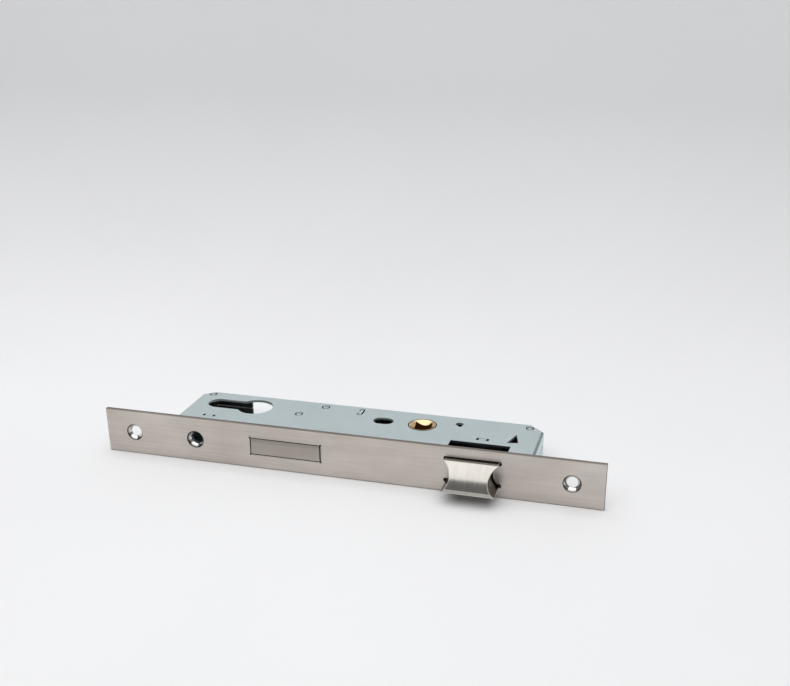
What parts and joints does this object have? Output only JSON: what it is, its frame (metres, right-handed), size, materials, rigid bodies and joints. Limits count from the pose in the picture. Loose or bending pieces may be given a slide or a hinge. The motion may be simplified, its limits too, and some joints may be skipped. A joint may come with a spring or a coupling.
{
  "type": "mortise lock",
  "caption": "Narrow-stile mortise lock with a flat stainless faceplate, waisted spring latch, flush deadbolt, brass square follower and euro-profile cylinder cut-out.",
  "frame": {"origin": "centre of the faceplate's rear face, which lies on the door's edge, midway between its two fixing screws", "axes": "+X along the faceplate from the cylinder end to the latch end, +Y into the door, +Z across the door's thickness"},
  "size_m": [0.24, 0.0531, 0.022],
  "materials": {
    "stainless_plate": "fine brushed along the length",
    "bolt_stainless": "brushed along the length",
    "latch_satin": "bright satin",
    "zinc_sheet": "light blue-grey zinc plating, satin",
    "rivet_steel": "zinc plated, staked ends",
    "brass": "bright machined",
    "inner_steel": "stamped steel, lightly oiled",
    "spring_steel": "drawn spring wire"
  },
  "bodies": {
    "case": {"faceplate": "stainless_plate", "case_cover": "zinc_sheet", "case_base": "zinc_sheet", "lower_bracket": "zinc_sheet", "upper_bracket": "zinc_sheet", "latch_guide": "zinc_sheet", "spring_abutment": "zinc_sheet", "corner_posts": "rivet_steel", "bolt_guide_post": "rivet_steel", "tumbler_post": "rivet_steel", "tumbler_spring": "spring_steel", "return_spring": "spring_steel", "latch_spring": "spring_steel"},
    "deadbolt": {"deadbolt_head": "bolt_stainless", "deadbolt_tail": "inner_steel", "deadbolt_rivets": "inner_steel"},
    "tumbler_slide": {"tumbler": "inner_steel", "tumbler_stump": "inner_steel"},
    "follower": {"follower_hub": "brass", "follower_cheeks": "inner_steel", "follower_spacers": "inner_steel", "follower_arm_pin": "inner_steel", "follower_spring_pin": "inner_steel"},
    "return_slide": {"return_rod": "inner_steel", "return_collar": "inner_steel"},
    "latch": {"latch_head": "latch_satin", "latch_stem": "inner_steel", "latch_stop_bush": "inner_steel", "latch_yoke": "inner_steel", "latch_circlip": "spring_steel"}
  },
  "joints": [
    {"name": "follower_turn", "type": "hinge", "parent": "case", "child": "follower", "pos_m": [0.03113, 0.026, 0], "axis": [0, 0, 1], "range_deg": [0, 34]},
    {"name": "latch_slide", "type": "slide", "parent": "case", "child": "latch", "axis": [0, 1, 0], "range_m": [0, 0.01105], "stiffness_N_per_m": 130, "springref_m": -0.01, "deforming": ["latch_spring"]},
    {"name": "return_rod_slide", "type": "slide", "parent": "case", "child": "return_slide", "axis": [-1, 0, 0], "range_m": [0, 0.0051], "deforming": ["return_spring"]},
    {"name": "deadbolt_throw", "type": "slide", "parent": "case", "child": "deadbolt", "axis": [0, -1, 0], "range_m": [0, 0.014]},
    {"name": "tumbler_lift", "type": "slide", "parent": "case", "child": "tumbler_slide", "axis": [1, 0, 0], "range_m": [0, 0.0025], "stiffness_N_per_m": 100, "springref_m": -0.001, "deforming": ["tumbler_spring"]}
  ],
  "couplings": [
    {"joint": "follower_turn", "follows": "latch_slide", "rad_per_m": 53.7},
    {"joint": "return_rod_slide", "follows": "latch_slide", "ratio": 0.457}
  ]
}
